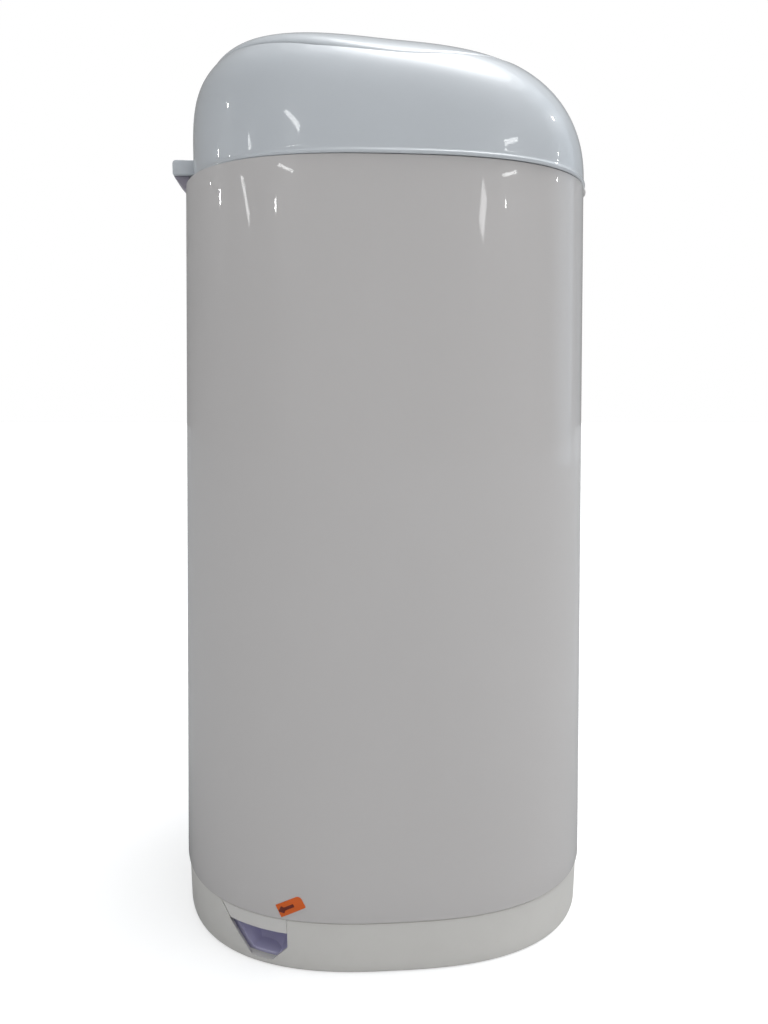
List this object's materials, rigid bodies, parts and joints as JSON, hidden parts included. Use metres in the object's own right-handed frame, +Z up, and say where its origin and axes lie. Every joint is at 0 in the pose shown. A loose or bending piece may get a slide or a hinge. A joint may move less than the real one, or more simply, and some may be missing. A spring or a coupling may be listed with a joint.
{
  "type": "pedal nappy bin",
  "caption": "Tapered squircle pedal bin for nappies: domed head hinged at the back, rising lid, sprung trap flaps over an inner bag space, toe pedal in the base's corner.",
  "frame": {"origin": "centre of the body's plan on the floor", "axes": "+X to the pedal's side, -Y to the front where the lip and latch are, +Z up"},
  "size_m": [0.277, 0.2914, 0.5804],
  "materials": {
    "white_gloss": "gloss",
    "warm_grey": "satin",
    "band_grey": "gloss",
    "violet": "satin",
    "dark_violet": "satin",
    "inner_white": "satin",
    "steel": "brushed",
    "rubber": "matt",
    "cassette_blue": "gloss",
    "film": "gloss",
    "label_orange": "satin",
    "mark_dark": "matt"
  },
  "bodies": {
    "housing": {"base": "warm_grey", "grip_pads": "rubber", "pedal_surround": "band_grey", "axle_brackets": "warm_grey", "body_shell": "white_gloss", "body_floor": "inner_white", "floor_screws": "steel", "rod_guides": "inner_white", "arrow_label": "label_orange", "arrow_mark": "mark_dark", "body_hinge_leaf": "steel", "head_hinge_pin": "steel", "latch_keeper": "inner_white", "pedal_axle": "steel"},
    "pedal": {"pedal_cup": "violet", "pedal_lever": "steel"},
    "lift_rod": {"lift_rod": "steel"},
    "head": {"head_hinge_leaf": "steel", "head_shell": "white_gloss", "head_frame": "inner_white", "head_tray": "inner_white", "tray_screws": "steel", "front_lip": "white_gloss", "cassette_tub": "cassette_blue", "cassette_film": "film", "throat_funnel": "inner_white", "flap_frame": "inner_white", "flap_pins": "steel", "flap_springs": "steel", "lid_hinge_bracket": "inner_white", "lid_hinge_pin": "steel"},
    "latch": {"latch_button": "dark_violet"},
    "flap_left": {"trap_flap_left": "inner_white"},
    "flap_right": {"trap_flap_right": "inner_white"},
    "plunger": {"plunger": "steel"},
    "lid": {"lid_shell": "white_gloss", "lid_seal": "rubber", "lid_hinge_arms": "inner_white"}
  },
  "joints": [
    {"name": "head_hinge", "type": "hinge", "parent": "housing", "child": "head", "pos_m": [0, 0.1318, 0.499], "axis": [-1, 0, 0], "range_deg": [0, 95]},
    {"name": "lid_hinge", "type": "hinge", "parent": "head", "child": "lid", "pos_m": [0, 0.088, 0.5595], "axis": [-1, 0, 0], "range_deg": [0, 46]},
    {"name": "plunger_slide", "type": "slide", "parent": "head", "child": "plunger", "axis": [0, 0, 1], "range_m": [0, 0.0078]},
    {"name": "rod_slide", "type": "slide", "parent": "housing", "child": "lift_rod", "axis": [0, 0, 1], "range_m": [0, 0.0078]},
    {"name": "pedal_pivot", "type": "hinge", "parent": "housing", "child": "pedal", "pos_m": [0.0865, -0.07146, 0.011], "axis": [0.4772, 0.8788, 0], "range_deg": [0, 3.28]},
    {"name": "latch_slide", "type": "slide", "parent": "head", "child": "latch", "axis": [0, 1, 0], "range_m": [0, 0.003], "stiffness_N_per_m": 400, "springref_m": -0.002},
    {"name": "flap_left_hinge", "type": "hinge", "parent": "head", "child": "flap_left", "pos_m": [-0.062, -0.012, 0.489], "axis": [0, 1, 0], "range_deg": [0, 70], "stiffness_Nm_per_rad": 0.02, "springref_deg": -28.65},
    {"name": "flap_right_hinge", "type": "hinge", "parent": "head", "child": "flap_right", "pos_m": [0.062, -0.012, 0.489], "axis": [0, -1, 0], "range_deg": [0, 70], "stiffness_Nm_per_rad": 0.02, "springref_deg": -28.65}
  ],
  "couplings": [
    {"joint": "plunger_slide", "follows": "lid_hinge", "m_per_rad": 0.0097},
    {"joint": "rod_slide", "follows": "lid_hinge", "m_per_rad": 0.0097},
    {"joint": "pedal_pivot", "follows": "lid_hinge", "ratio": 0.071}
  ]
}
